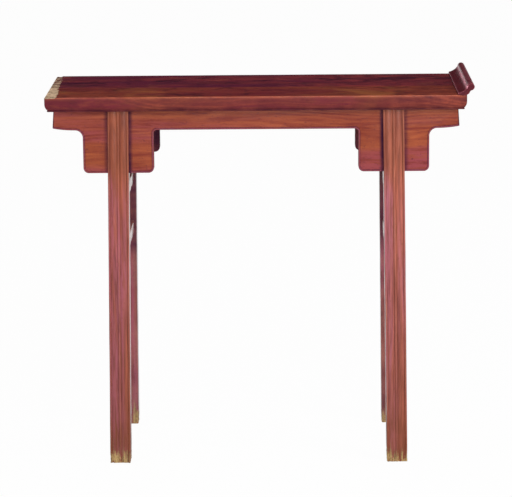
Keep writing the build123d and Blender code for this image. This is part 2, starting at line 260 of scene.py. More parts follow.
def grain_nodes():
    """Broad bands, fine fibres and short dark pores, all drawn out along the wood. The vector comes in
    already squeezed across the grain, so that plain noise turns into streaks. The bands are yearly rings,
    the sine of a slow noise, over softer clouds."""
    outputs = {"Bands": "Float", "Fibres": "Float", "Pores": "Float"}
    tree, given, found = new_group("Wood grain", {"Vector": "Vector"}, outputs)
    where = given["Vector"]
    growth = noise(tree, where, scale=0.4, detail=1.5, roughness=0.4, distortion=0.6)
    clouds = noise(tree, where, scale=1.0, detail=3.0, roughness=0.55, distortion=0.9)
    fibres = noise(tree, where, scale=6.5, detail=4.0, roughness=0.62, distortion=0.3)
    pores = noise(tree, where, scale=30.0, detail=1.0)
    rings = ramp(tree, math(tree, "SINE", times(tree, growth, 110.0)), -0.6, 1.0)
    softer = times(tree, ramp(tree, clouds, 0.3, 0.7), 0.58)
    tree.links.new(math(tree, "MULTIPLY_ADD", rings, 0.42, softer), found["Bands"])
    tree.links.new(ramp(tree, fibres, 0.28, 0.72), found["Fibres"])
    tree.links.new(ramp(tree, pores, 0.62, 0.72), found["Pores"])
    return tree


def age_nodes():
    """Rubs the lacquer off edges, leaves hollows dirty and shows torn bare wood, where the piece's own
    marks say so and noise breaks them up. The same marks also lay painted highlight in the rubbed colour
    and painted shade in the colour for dirty places, and one more input adds painted shade by where a
    place lies. It gives the aged colour, the roughness, a height for the bump, and how much sound lacquer
    is left."""
    inputs = {"Colour": "Color", "Rubbed": "Color", "Dirt": "Color", "Bare": "Color", "Bands": "Float",
              "Fibres": "Float", "Gloss": "Float", "Corner": "Float"}
    outputs = {"Colour": "Color", "Roughness": "Float", "Height": "Float", "Lacquer": "Float"}
    tree, given, found = new_group("Age", inputs, outputs)
    here = node(tree, "ShaderNodeTexCoord").outputs["Object"]
    specks = noise(tree, here, scale=170.0, detail=3.0, roughness=0.6)
    cloud = noise(tree, here, scale=21.0, detail=3.0, roughness=0.6)
    wear_and_highlight = node(tree, "ShaderNodeAttribute", attribute_name="wear_and_highlight").outputs["Fac"]
    grime_and_shade = node(tree, "ShaderNodeAttribute", attribute_name="grime_and_shade").outputs["Fac"]
    bare = node(tree, "ShaderNodeAttribute", attribute_name="bare").outputs["Fac"]

    wear = ramp(tree, plus(tree, cloud, times(tree, specks, 0.5)), 0.55, 0.95, 0.3, 1.0)
    wear_and_highlight_share = times(tree, wear_and_highlight, wear)
    settled = ramp(tree, cloud, 0.25, 0.65, 0.6, 1.0)
    dirt_and_shade_share = times(tree, math(tree, "MAXIMUM", grime_and_shade, given["Corner"]), settled)
    flecks = times(tree, ramp(tree, specks, 0.62, 0.72), 0.45)
    fibrous = times(tree, math(tree, "SUBTRACT", given["Fibres"], 0.5), 0.7)
    speckled = times(tree, math(tree, "SUBTRACT", specks, 0.5), 0.7)
    torn = ramp(tree, plus(tree, bare, plus(tree, fibrous, speckled)), 0.35, 0.7)
    bare_share = times(tree, torn, ramp(tree, bare, 0.0, 0.15))

    aged = blend(tree, wear_and_highlight_share, given["Colour"], given["Rubbed"])
    aged = blend(tree, dirt_and_shade_share, aged, given["Dirt"])
    aged = blend(tree, flecks, aged, given["Dirt"])
    streaks = math(tree, "MULTIPLY_ADD", given["Fibres"], 0.35, times(tree, specks, 0.5))
    streaks = math(tree, "MULTIPLY_ADD", given["Bands"], 0.3, streaks)
    raw = blend(tree, ramp(tree, streaks, 0.42, 0.9), given["Bare"], paint(88, 58, 42))
    tree.links.new(blend(tree, bare_share, aged, raw), found["Colour"])

    dulled = times(tree, plus(tree, dirt_and_shade_share, bare_share), 0.25)
    rough = plus(tree, plus(tree, given["Gloss"], dulled), ramp(tree, cloud, 0.3, 0.7, -0.06, 0.08))
    tree.links.new(rough, found["Roughness"])
    furrows = times(tree, bare_share, given["Fibres"])
    tree.links.new(math(tree, "SUBTRACT", specks, furrows), found["Height"])
    lost = math(tree, "MAXIMUM", bare_share, dirt_and_shade_share)
    tree.links.new(math(tree, "SUBTRACT", 1.0, lost), found["Lacquer"])
    return tree


grain_group = grain_nodes()
age_group = age_nodes()


def figured(tree, here, bent, offset, colour, dark, golden):
    """Lays the blotches of figured wood over a colour: dark ones about 60 mm across and golden ones about
    150 mm, at full strength on the upper face and fainter on the edge."""
    moved = node(tree, "ShaderNodeMapping", Vector=bent, Location=(offset + 0.12, offset, offset),
                 Scale=(1.0, 1.3, 1.3)).outputs[0]
    z = node(tree, "ShaderNodeSeparateXYZ", i0=here).outputs[2]
    on_top = ramp(tree, z, (top_z - 8) / 1000, (top_z - 2) / 1000, 0.35, 1.0)
    blotches = noise(tree, moved, scale=15.0, detail=4.0, roughness=0.62, distortion=0.9)
    flames = noise(tree, moved, scale=5.5, detail=5.0, roughness=0.66, distortion=0.5)
    dark_share = times(tree, on_top, ramp(tree, blotches, 0.5, 0.68, 0.0, 0.75))
    golden_share = times(tree, on_top, ramp(tree, flames, 0.52, 0.72, 0.0, 0.6))
    return blend(tree, golden_share, blend(tree, dark_share, colour, paint(*dark)), paint(*golden))


def lacquered_wood(name, squeeze, deep, light, bloom, rubbed, dirt, bare=(188, 160, 130), gloss=0.5,
                   bloom_axis=0, bloom_fade=(0.15, -0.45), shine=0.3, relief=0.25, polish=0.0, offset=0.0,
                   wander=0.012, figure=None, painted_corner_shade=None):
    """Stained and lacquered hardwood: deep to light along the grain, a dull pink bloom that clouds over it
    and is strongest towards one end, then age. squeeze is how tightly the grain is packed along x, y and z,
    wander how far in metres it sways, and offset picks another stretch of it. bloom_fade is where along its
    axis, in metres, the bloom sets in and where it is full. figure is a dark and a golden colour for
    blotches. The colour for dirty places also serves as painted shade, and the last argument is a function
    that gives how much shade is painted on a place by where it lies."""
    material = bpy.data.materials.new(name)
    material.use_nodes = True
    tree = material.node_tree
    tree.nodes.clear()
    here = node(tree, "ShaderNodeTexCoord").outputs["Object"]
    sway = node(tree, "ShaderNodeTexNoise", Vector=here, Scale=4.0, Detail=1.0).outputs["Color"]
    bent = node(tree, "ShaderNodeVectorMath", operation="MULTIPLY_ADD", i0=sway, i1=(wander, wander, wander),
                i2=here).outputs[0]
    squeezed = node(tree, "ShaderNodeMapping", Vector=bent, Location=(offset, offset, offset),
                    Scale=squeeze).outputs[0]
    grain = node(tree, "ShaderNodeGroup", node_tree=grain_group, Vector=squeezed).outputs
    streak = plus(tree, times(tree, grain["Bands"], 0.62), times(tree, grain["Fibres"], 0.38))
    colour = blend(tree, streak, paint(*deep), paint(*light))

    drift = noise(tree, squeezed, scale=0.6, detail=3.0, roughness=0.55)
    towards_end = ramp(tree, node(tree, "ShaderNodeSeparateXYZ", i0=here).outputs[bloom_axis], *bloom_fade)
    clouded = ramp(tree, plus(tree, drift, times(tree, towards_end, 0.2)), 0.58, 0.8, 0.0, 0.86)
    broken_up = ramp(tree, grain["Fibres"], 0.15, 0.6, 0.35, 1.0)
    colour = blend(tree, times(tree, clouded, broken_up), colour, paint(*bloom))
    if figure:
        colour = figured(tree, here, bent, offset, colour, *figure)
    colour = blend(tree, times(tree, grain["Pores"], 0.4), colour, paint(*dirt))

    corner = painted_corner_shade(tree, here) if painted_corner_shade else 0.0
    age = node(tree, "ShaderNodeGroup", node_tree=age_group, Colour=colour, Rubbed=paint(*rubbed),
               Dirt=paint(*dirt), Bare=paint(*bare), Bands=grain["Bands"], Fibres=grain["Fibres"],
               Gloss=gloss, Corner=corner).outputs
    height = plus(tree, age["Height"], times(tree, streak, 0.6))
    bump = node(tree, "ShaderNodeBump", Strength=relief, Distance=0.0008, Height=height).outputs[0]
    coat = times(tree, age["Lacquer"], polish)
    surface = node(tree, "ShaderNodeBsdfPrincipled", Base_Color=age["Colour"], Roughness=age["Roughness"],
                   Normal=bump, Specular_IOR_Level=shine, Coat_Weight=coat, Coat_Roughness=0.14)
    tree.links.new(surface.outputs[0], node(tree, "ShaderNodeOutputMaterial").inputs[0])
    return material


def finish_piece(piece, material, slot, *nodes):
    """Gives a piece its material, lets it stand for its CAD nodes and ride on the table."""
    piece.data.materials.clear()
    piece.data.materials.append(material)
    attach(piece, "root")
    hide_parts(*nodes)


board_look = dict(squeeze=(4.2, 26, 26), bare=(236, 202, 166), gloss=0.42, bloom_fade=(0.3, 0.0), shine=0.15,
                  polish=0.15, wander=0.03)
front_board_wood = lacquered_wood(
    "Maroon lacquer front board", deep=(90, 18, 30), light=(178, 82, 55), bloom=(126, 34, 48),
    rubbed=(186, 104, 76), dirt=(62, 12, 30), offset=4.0, figure=((74, 14, 34), (178, 104, 54)), **board_look)
rear_board_wood = lacquered_wood(
    "Maroon lacquer rear board", deep=(66, 4, 42), light=(166, 60, 62), bloom=(104, 22, 60),
    rubbed=(172, 90, 78), dirt=(46, 8, 22), figure=((60, 6, 38), (172, 94, 60)), **board_look)
finish_piece(top_board("lacquered_board_front", -1), front_board_wood, "top_wood", "top_board_front")
finish_piece(top_board("lacquered_board_rear", 1), rear_board_wood, "top_wood", "top_board_rear")

# --- Dowels and pegs ---
# Round hardwood pins. The dowels and the right flange's pegs are buried in their holes; three pegs of the
# lost flange are broken off level with the torn seat at the left end.

pin_wood = lacquered_wood(
    "Broken peg end grain", (60, 60, 8), deep=(120, 84, 60), light=(150, 112, 84), bloom=(130, 92, 72),
    rubbed=(170, 140, 110), dirt=(60, 38, 28), gloss=0.75, shine=0.2)
for pins in ("board_dowels", "flange_pegs", "broken_pegs"):
    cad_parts[pins].data.materials.clear()
    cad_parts[pins].data.materials.append(pin_wood)

# --- Right flange ---
# One length of wood along the right end, pegged down into its sunk seat: a low step, a hollow that sweeps
# up and out, a rolled lip and a full belly underneath. Its crown is rubbed pale by hands, and a pale
# pink highlight is painted along the flank of the roll that faces the middle and along the step's rounded
# edge.

step_side, step_top, step_rounding, step_heel = -20.0, 4.4, 1.5, 1.0
roll_centre, roll_radius = (8.5, 17.6), 8.0
quirk = (6.6, 7.4)
flange_half = top_half_width - 0.4
flange_clearance = 0.08


def bowed(start, stop, bow, count):
    """A straight line from start to stop, bent into a parabola, to its right where bow is above 0."""
    t = np.linspace(0, 1, count)[:, None]
    step = np.subtract(stop, start)
    aside = np.array([step[1], -step[0]]) / np.hypot(*step)
    return start + t * step + 4 * bow * t * (1 - t) * aside


def round_corner(centre, radius, start, stop, count):
    """Points of a circle from one angle in degrees to another."""
    turn = np.radians(np.linspace(start, stop, count))[:, None]
    return np.array(centre) + radius * np.concatenate([np.cos(turn), np.sin(turn)], 1)


def drawn_in(section, inset):
    """A closed section, anticlockwise, moved inwards along the normal at each point by each inset in turn;
    gives one ring for each inset."""
    tangent = np.roll(section, -1, 0) - np.roll(section, 1, 0)
    length = np.maximum(np.hypot(*tangent.T), 1e-9)
    inward = np.stack([-tangent[:, 1], tangent[:, 0]], 1) / length[:, None]
    return section[None] + np.asarray(inset)[:, None, None] * inward[None]


def near(section, place, reach):
    """How near each point of a section lies to a place: 1 there, and a bell curve of that reach round it."""
    return np.exp(-(np.hypot(*(section - place).T) / reach) ** 2)


def bars(name, *parts):
    """One mesh of bars. Each is given as rings of points along it and is closed at both ends."""
    grids = [np.concatenate([rings, rings[:, :1]], 1) for rings in parts]
    return closed_mesh(name, grids, [loop for rings in parts for loop in (rings[0], rings[-1])])


roll = round_corner(roll_centre, roll_radius, 180, -75, 34)
flange_outline = np.concatenate([
    [(0, -seat_deep), (step_side + step_heel, -seat_deep)],
    round_corner((step_side + step_heel, step_heel - seat_deep), step_heel, 270, 180, 4),
    round_corner((step_side + step_rounding, step_top - step_rounding), step_rounding, 180, 90, 6),
    bowed((step_side + step_rounding, step_top), roll[0], bow=2.3, count=18)[1:],
    roll[1:],
    bowed(roll[-1], quirk, bow=0.3, count=5)[1:],
    bowed(quirk, (0, 0), bow=-1.4, count=12)[1:],
])[::-1]
across_flange, up_flange = flange_outline.T
crown = smooth_step(up_flange, 16, 25) * (across_flange > 0)
painted_flank_highlight = near(flange_outline, (0.2, 17.0), 3.6)
painted_step_highlight = near(flange_outline, (-19.6, 3.9), 1.0)
foot_dirt = smooth_step(-up_flange, -2.5, 0) * (across_flange < 0)
foot_dirt = np.maximum(foot_dirt, near(flange_outline, quirk, 1.8))

# The rings near each end: how far from it they lie, and how far they are drawn in to round off its arris. The
# first, drawn in by more than cap_from, stands for the end's sawn face.
end_places = np.array([0, 0, 0.12, 0.5, 1.1])
end_insets = np.array([1.08, 1.0, 0.45, 0.12, 0.0])
cap_from = 1.05
middle_places = np.linspace(3 - flange_half, flange_half - 3, 75)
ring_places = np.concatenate([end_places - flange_half, middle_places, (flange_half - end_places)[::-1]])
ring_insets = np.concatenate([end_insets, 0 * middle_places, end_insets[::-1]])
rings = drawn_in(flange_outline, ring_insets + flange_clearance)
wear = 0.18 * (1 + unevenness(ring_places[:, None], 10 * crown[None], pitch=40, seed=11)) * crown[None]
in_cap = ring_insets[:, None] > cap_from
# The flank of the roll and the step's rounded edge take a painted highlight in the pale rubbed colour; only
# the crown and the end arrises are worn.
rubbed = np.maximum(0.12 * crown + 1.4 * painted_flank_highlight + 0.45 * painted_step_highlight, 0.18 * ring_insets[:, None])
flange_points = spread(table_middle + top_half_length + rings[..., 0], ring_places[:, None],
                       top_z + (rings[..., 1] - wear), np.where(in_cap, 0.0, rubbed),
                       np.where(in_cap, 0.5, foot_dirt[None]), 0.0)
flange_wood = lacquered_wood(
    "Maroon lacquer flange", (14, 1.6, 14), deep=(94, 16, 36), light=(128, 40, 46), bloom=(100, 34, 48),
    rubbed=(252, 168, 184), dirt=(56, 26, 34), gloss=0.34, bloom_fade=(0.3, 0.6), shine=0.1, relief=0.03,
    polish=0.06)
finish_piece(bars("everted_flange", flange_points), flange_wood, "flange_wood", "flange_right")

# --- Battens ---
# Three bearers across the underside, each with a dovetailed back that slides into the top and keeps it
# flat. Plain planed wood, never lacquered.

grain_along_y = (42, 1.6, 42)
batten_clearance = 0.05

# The section: a dovetail 18 mm wide at its neck and 24 mm at its back, 8 mm up, over a body 34 mm wide and
# 20 mm deep with small chamfers.
batten_outline = np.array([
    (-17, -0.8), (-17, -18.6), (-15.6, -20), (15.6, -20), (17, -18.6), (17, -0.8),
    (16.2, 0), (9, 0), (12, 8), (-12, 8), (-9, 0), (-16.2, 0),
])
batten_y = np.concatenate([[-108, -107.2], np.linspace(-104, 104, 27), [107.2, 108]])
batten_insets = np.concatenate([[0.8], 0 * batten_y[2:], [0.8]])
rings = drawn_in(batten_outline, batten_insets + batten_clearance)
planing = 0.25 * unevenness(batten_y[:, None], 9.0 * np.arange(12)[None], pitch=30, seed=21)
hewn = planing * (rings[..., 1] < -10)
inner_wood = lacquered_wood(
    "Planed inner wood", grain_along_y, deep=(112, 76, 56), light=(150, 108, 80), bloom=(128, 88, 72),
    rubbed=(168, 128, 98), dirt=(56, 34, 26), gloss=0.72, shine=0.2)
for node_name, x in (("batten_left", -250.0), ("batten_middle", 0.0), ("batten_right", 250.0)):
    points = spread(table_middle + x + rings[..., 0], batten_y[:, None], shoulder_z + rings[..., 1] + hewn,
                    0.2, 0.3, 0.0)
    finish_piece(bars(node_name + "_planed", points), inner_wood, "inner_wood", node_name)

# --- Legs ---
# Four legs, splayed both ways and moulded on the outer face with a bead at each edge and a larger one down
# the middle. The head is forked, and its cheeks clasp apron and spandrel. The feet are rotted and frayed.

grain_along_z = (42, 42, 1.6)
leg_x, leg_face_y, leg_depth = 304.0, 134.0, 36.0
end_splay, side_splay = 0.013, 0.036  # how far out per millimetre down
leg_half, outer_groove, inner_groove = 23.25, 18.65, 3.1
leg_bead_high, panel_high = 2.2, 1.3
rear_rounding = 1.5
cheek_back, slot_back = 5.0, -7.0
fork_z = 667.1


def crowned(start, stop, height, count):
    """A circular arc that stands on the groove line from start to stop and rises by height."""
    radius = ((stop - start) ** 2 / 4 + height ** 2) / (2 * height)
    reach = np.arcsin(min((stop - start) / 2 / radius, 1.0))
    turn = np.linspace(-reach, reach, count)
    groove_line = leg_depth / 2 - leg_bead_high
    centre = groove_line + height - radius
    return spread((start + stop) / 2 + radius * np.sin(turn), centre + radius * np.cos(turn))


leg_face = np.concatenate([
    crowned(-leg_half, -outer_groove, leg_bead_high, 9),
    crowned(-outer_groove, -inner_groove, panel_high, 13)[1:],
    crowned(-inner_groove, inner_groove, leg_bead_high, 11)[1:],
    crowned(inner_groove, outer_groove, panel_high, 13)[1:],
    crowned(outer_groove, leg_half, leg_bead_high, 9)[1:],
])
rear_corner = np.array([leg_half - rear_rounding, rear_rounding - leg_depth / 2])
rear_edges = np.concatenate([
    round_corner(rear_corner, rear_rounding, 0, -90, 5),
    round_corner(rear_corner * [-1, 1], rear_rounding, -90, -180, 5),
])
right_side = np.array([(leg_half, 12.0), (leg_half, cheek_back), (leg_half, slot_back)])
leg_outline = np.concatenate([leg_face, right_side, rear_edges, (right_side * [-1, 1])[::-1]])
grooves = np.array([[-outer_groove, -inner_groove, inner_groove, outer_groove]])
groove_gap = np.min(np.abs(leg_face[:, :1] - grooves), 1)
face_count, outline_count = len(leg_face), len(leg_outline)
leg_grime = np.concatenate([0.7 * np.exp(-(groove_gap / 0.9) ** 2), np.zeros(outline_count - face_count)])
leg_worn = np.concatenate([
    0.35 * smooth_step(leg_face[:, 1], 17.0, 18.0),
    np.zeros(len(right_side)),
    np.full(len(rear_edges), 0.4),
    np.zeros(len(right_side)),
])
whole_loop = np.r_[0:outline_count, 0]
front_loop = np.r_[0:face_count + 2, outline_count - 2:outline_count, 0]
rear_loop = np.r_[face_count + 2:outline_count - 2, face_count + 2]
slot_corners = [face_count + 1, face_count + 2, outline_count - 3, outline_count - 2]


def rotted(section, z, ring_x, ring_y, seed):
    """The factor by which rot shrinks the section, by up to 1.6 mm over the lowest 40 mm, and how far the
    foot's rim is eaten upwards, by up to 1 mm."""
    frayed = 0.5 + 0.5 * unevenness(ring_x + z, ring_y, pitch=26, seed=seed)
    frayed = frayed + 0.3 * unevenness(ring_x, ring_y + z, pitch=9, seed=seed + 1)
    frayed = smooth_step(-z, -40, -8) * frayed
    shrink = 1 - np.clip(frayed, 0, 1.6) / np.hypot(*section.T)[None]
    ragged = 0.2 + 0.4 * unevenness(ring_x, ring_y, pitch=22, seed=seed + 2)
    ragged = ragged + 0.3 * unevenness(ring_x, ring_y, pitch=7, seed=seed + 3)
    return shrink, np.clip(ragged, 0, 1) * smooth_step(-z, -9, 0)


def leg_dirt_and_shade(section, z, ring_x, out, seed):
    """How grimy a leg is away from its grooves: browned from 430 mm down and from 630 mm up, streaked with
    dark lines of grain, and on the rear legs darkened from 415 mm up over the faces that look in, which
    is painted shade."""
    browned = 0.3 * smooth_step(-z, -430, -130) + 0.45 * smooth_step(-z, -170, -20)
    browned = browned + 0.35 * smooth_step(z, 630, 700)
    threads = unevenness(section[None, :, 0] + 0 * z, 0.02 * z, pitch=5, seed=seed + 9)
    lines = 0.6 * smooth_step(threads, 0.35, 1.1)
    lines = lines * (0.5 + 0.4 * smooth_step(-z, -560, -220))
    if out > 0:
        painted_rear_shade = (0.72 + 0.2 * unevenness(ring_x * 0.4, z, pitch=14, seed=seed + 8)) * smooth_step(z, 415, 440)
        browned = np.maximum(0.3 * browned, painted_rear_shade * smooth_step(-section[:, 1], 2, 12)[None])
        lines = lines * 0.35
    return browned + lines * (1 - browned)


def leg_rings(end, out, seed, heights, chosen):
    """The chosen points of the section at each height, moved along the leg's slant and slightly to and fro.
    Noise is read off a circle round the section, so that it runs on round the corners."""
    section, z = leg_outline[chosen], heights[:, None]
    turn = np.arctan2(section[:, 1], section[:, 0])[None]
    ring_x, ring_y = 60 * np.cos(turn), 60 * np.sin(turn)
    shrink, ragged = rotted(section, z, ring_x, ring_y, seed)
    sway = 0.12 * unevenness(z, ring_x, pitch=120, seed=seed + 4)
    sideways = section[None, :, 0] * shrink + sway
    outward = section[None, :, 1] * shrink - np.abs(sway)
    height = z + ragged
    x = table_middle + end * (leg_x + end_splay * (shoulder_z - height)) - out * sideways
    y = out * (leg_face_y - leg_depth / 2 + side_splay * (shoulder_z - height) + outward)
    foot_bare = 0.52 + 0.14 * unevenness(ring_x, ring_y + z, pitch=40, seed=seed + 5)
    bare = 0.1 * smooth_step(-z, -150, -45) + smooth_step(-z, -64 - 18 * out, -8 - 4 * out) * foot_bare
    filled = np.clip(0.55 + 0.5 * unevenness(ring_x * 2, z, pitch=90, seed=seed + 6), 0.1, 1)
    rubbed = np.clip(0.8 + 0.7 * unevenness(ring_x, z, pitch=110, seed=seed + 7), 0.2, 1.6)
    grime_and_shade = np.maximum(leg_grime[chosen][None] * filled, leg_dirt_and_shade(section, z, ring_x, out, seed))
    return spread(x, y, height, leg_worn[chosen][None] * rubbed, grime_and_shade, np.clip(bare, 0, 1))


def leg(name, end, out, seed):
    """One leg: its foot closed by a fan up to a point 3 mm inside, the shaft up to the fork, and both
    cheeks from there to the top."""
    ragged_part, frayed_part = np.linspace(0, 10, 12), np.linspace(10, 40, 26)[1:]
    low = np.concatenate([ragged_part, frayed_part, np.linspace(40, fork_z, 64)[1:]])
    head = np.linspace(fork_z, shoulder_z, 15)
    main = leg_rings(end, out, seed, low, whole_loop)
    front_cheek = leg_rings(end, out, seed, head, front_loop)
    rear_cheek = leg_rings(end, out, seed, head, rear_loop)
    middle = main[:1].copy()
    middle[..., :2] = main[0, :-1, :2].mean(0)
    middle[..., 2] = 3.0
    foot = np.concatenate([middle, main[:1]])
    loops = [main[-1][slot_corners], front_cheek[-1, :-1], rear_cheek[-1, :-1]]
    return closed_mesh(name, [foot, main, front_cheek, rear_cheek], loops)


leg_look = dict(squeeze=grain_along_z, bare=(190, 160, 108), gloss=0.34, bloom_axis=2, shine=0.2)
front_look = dict(deep=(98, 32, 28), rubbed=(192, 122, 98), dirt=(112, 60, 34), bloom_fade=(0.74, 0.6),
                  polish=0.45, **leg_look)
left_leg_wood = lacquered_wood(
    "Leg lacquer left", light=(180, 91, 58), bloom=(164, 83, 102), offset=12.0, **front_look)
right_leg_wood = lacquered_wood(
    "Leg lacquer right", light=(192, 103, 78), bloom=(180, 101, 122), offset=2.5, **front_look)
# A darker copy of the front legs' lacquer, which is painted shade; its colour for dirty places also paints
# the shade on the rear legs' upper inner faces.
shaded_rear_leg_wood = lacquered_wood(
    "Rear leg lacquer with painted shade", deep=(86, 28, 34), light=(156, 76, 62), bloom=(158, 74, 98), rubbed=(180, 112, 98),
    dirt=(70, 12, 48), bloom_fade=(0.62, 0.42), polish=0.6, **leg_look)
legs = (
    ("front_left", -1, -1, 31, left_leg_wood),
    ("front_right", 1, -1, 41, right_leg_wood),
    ("rear_left", -1, 1, 51, shaded_rear_leg_wood),
    ("rear_right", 1, 1, 61, shaded_rear_leg_wood),
)
for place, end, out, seed, wood in legs:
    finish_piece(leg("moulded_leg_" + place, end, out, seed), wood, "frame_wood", "leg_" + place)

# --- Aprons and spandrels ---
# Each long side is an apron with two spandrels tenoned under it, mitred where the bead turns. A bead
# follows the whole lower edge round a sunk field. The legs' front cheeks lie in notches in their face.

apron_face_y, apron_end_x = 129.0, 448.0
apron_deep, spandrel_deep, wing_rise = 44.0, 140.0, 4.5
notch_half, past_mitre = 23.35, 2.0
notch_deep, sheet_deep, field_deep = 8.0, 20.0, 1.2
bead_wide, bead_half, outer_fall, inner_fall = 4.6, 2.1, 1.7, 1.4
spandrel_x, spandrel_half = 304.91, 78.3
inner_cove, outer_cove, toe_round = 8.0, 17.0, 12.0
inner_side, outer_side = spandrel_x - spandrel_half, spandrel_x + spandrel_half
inner_toe, outer_toe = inner_side - inner_cove, outer_side + outer_cove
head_v = bead_wide - apron_deep

# Rows from a plate's edge to its field: how far each is drawn in, its height against the face, and how worn
# and grimy it is.
bead_arc = np.linspace(0, np.pi, 11)
fall = np.where(bead_arc < np.pi / 2, outer_fall, inner_fall)
bead_rows = np.concatenate([
    [[0.0, -notch_deep, 0.15, 0.4], [0.0, -2.6, 0.15, 0.4]],
    spread(bead_half - bead_half * np.cos(bead_arc), fall * (np.sin(bead_arc) - 1),
           0.8 * np.sin(bead_arc) ** 2, 0.35 + 0.6 * smooth_step(bead_arc, 2.0, 3.0)),
    [[bead_wide, -field_deep, 0.0, 0.0]],
])


def never_zero(values):
    """The values as a column, with 1 in place of any that is almost 0."""
    return np.where(np.abs(values) < 1e-6, 1.0, values)[:, None]


def moulded_plate(outline, beaded):
    """A flat plate: its outline is drawn in row by row along the bead's profile. A corner lies where the
    two drawn-in edges cross; plain edges stay in place, so a bead that meets one is cut off along it."""
    following = np.roll(outline, -1, 0)
    if np.sum(outline[:, 0] * following[:, 1] - outline[:, 1] * following[:, 0]) < 0:
        outline, beaded = outline[::-1], np.roll(beaded[::-1], -1)
    leave = np.roll(outline, -1, 0) - outline
    leave /= np.hypot(*leave.T)[:, None]
    arrive, inward = np.roll(leave, 1, 0), np.stack([-leave[:, 1], leave[:, 0]], 1)
    before, bead_before = np.roll(inward, 1, 0), np.roll(beaded, 1)
    both = (before + inward) / (1 + np.sum(before * inward, 1))[:, None]
    along_next = leave / never_zero(np.sum(leave * before, 1))
    along_last = -arrive / never_zero(-np.sum(arrive * inward, 1))
    first, second = bead_before[:, None] > 0, beaded[:, None] > 0
    one_sided = np.where(first, along_next, np.where(second, along_last, 0.0))
    shift = np.where(first & second, both, one_sided)
    touched = (bead_before + beaded > 0)[None]
    inset, rise, wear_and_highlight, grime_and_shade = bead_rows.T[:, :, None]
    u, v = (outline[None] + inset[..., None] * shift[None]).transpose(2, 0, 1)
    w = np.where(touched, rise, np.minimum(rise, -field_deep))
    return spread(u, v, w, wear_and_highlight * touched, grime_and_shade * touched, 0.0)


def plain_plate(outline, front, back):
    """A flat plate with square edges between two depths, its faces and edges darkened all over as painted
    shade.
    """
    return spread(outline[None, :, 0], outline[None, :, 1], np.array([[back], [front]]), 0.0, 0.9, 0.0)


def notch(v, side):
    """Where the side of a leg's notch lies at height v: side -1 is towards the middle, 1 towards the end."""
    return leg_x - end_splay * v + side * notch_half


def outline_of(*runs):
    """Joins runs of points, each with a flag for the edges that leave them, into an outline and flags."""
    points = [np.asarray(run, float) for run, flag in runs]
    flags = [np.full(len(run), flag) for run, flag in runs]
    return np.concatenate(points), np.concatenate(flags)


def mirrored(outline, beaded):
    """An outline turned over from left to right, each flag still with its own edge."""
    return (outline * [-1, 1])[::-1], np.roll(beaded[::-1], -1)


def standing(parts, out, end=1):
    """Turns plates drawn as seen from outside into the slanting plane of a long side, and cuts the apron's
    ends back along the 45 degree mitre."""
    placed = []
    for part in parts:
        u, v, w = part[..., 0], part[..., 1], part[..., 2]
        mitre = apron_end_x - side_splay * v + w
        u = np.clip(u, -mitre, mitre)
        tilt = np.hypot(1, side_splay)
        y = out * (apron_face_y + (w - side_splay * v) / tilt)
        z = shoulder_z + (v + side_splay * w) / tilt
        placed.append(np.concatenate([spread(table_middle + end * u, y, z), part[..., 3:]], -1))
    return placed


def painted_shade_by_legs(tree, here):
    """How much shade is painted beside the joints, where shade falls: in the 11 mm next to each leg, the
    4 mm next to each mitred end and the 2.5 mm under the top, by the distance from their slanting lines."""
    coordinates = node(tree, "ShaderNodeSeparateXYZ", i0=here).outputs
    x, z = coordinates[0], coordinates[2]
    from_middle = math(tree, "ABSOLUTE", math(tree, "SUBTRACT", x, table_middle / 1000))
    leg_line = math(tree, "MULTIPLY_ADD", z, -end_splay, (leg_x + end_splay * shoulder_z) / 1000)
    from_leg = math(tree, "SUBTRACT", from_middle, leg_line)
    gap = math(tree, "SUBTRACT", math(tree, "ABSOLUTE", from_leg), (leg_half - 0.05) / 1000)
    fading = ramp(tree, from_leg, -0.02, 0.02, 1.0, 0.6)
    by_leg = times(tree, ramp(tree, gap, 0.002, 0.011, 1.0, 0.0), fading)
    mitre_line = math(tree, "MULTIPLY_ADD", z, -side_splay, (apron_end_x + side_splay * shoulder_z) / 1000)
    from_mitre = math(tree, "SUBTRACT", mitre_line, from_middle)
    shade_by_mitre = ramp(tree, from_mitre, 0.0005, 0.004, 0.75, 0.0)
    shade_under_top = ramp(tree, z, (shoulder_z - 2.5) / 1000, (shoulder_z - 0.5) / 1000, 0.0, 1.0)
    return math(tree, "MAXIMUM", math(tree, "MAXIMUM", by_leg, shade_by_mitre), shade_under_top)


# The outlines in the plane of a side: u from the table's middle and v below the top. A spandrel's face is
# in two parts, one on each side of its leg, and so is the apron's, in a middle part and two wings.
inner_curve = np.concatenate([
    round_corner((inner_toe, -apron_deep - inner_cove), inner_cove, 90, 0, 9),
    round_corner((inner_side + toe_round, toe_round - spandrel_deep), toe_round, 180, 270, 11),
])
outer_curve = np.concatenate([
    round_corner((outer_side - toe_round, toe_round - spandrel_deep), toe_round, 270, 360, 11),
    round_corner((outer_toe, -apron_deep - outer_cove), outer_cove, 180, 90, 13),
])
wing_t = np.linspace(0, 1, 16)
wing_end = apron_end_x + past_mitre
wing = spread(outer_toe + wing_t * (wing_end - outer_toe), wing_rise * wing_t ** 2 - apron_deep)
inner_head, outer_head = (inner_toe + bead_wide, head_v), (outer_toe - bead_wide, head_v)
notch_in_top, notch_in_head = (notch(0, -1), 0), (notch(head_v, -1), head_v)
notch_out_top, notch_out_head = (notch(0, 1), 0), (notch(head_v, 1), head_v)

spandrel_inner = outline_of(([notch_in_head, inner_head], 0), (inner_curve, 1),
                            ([(notch(-spandrel_deep, -1), -spandrel_deep)], 0))
spandrel_outer = outline_of(([(notch(-spandrel_deep, 1), -spandrel_deep)], 1), (outer_curve[:-1], 1),
                            (outer_curve[-1:], 0), ([outer_head, notch_out_head], 0))
spandrel_web = np.concatenate([[inner_head], inner_curve, outer_curve, [outer_head]])

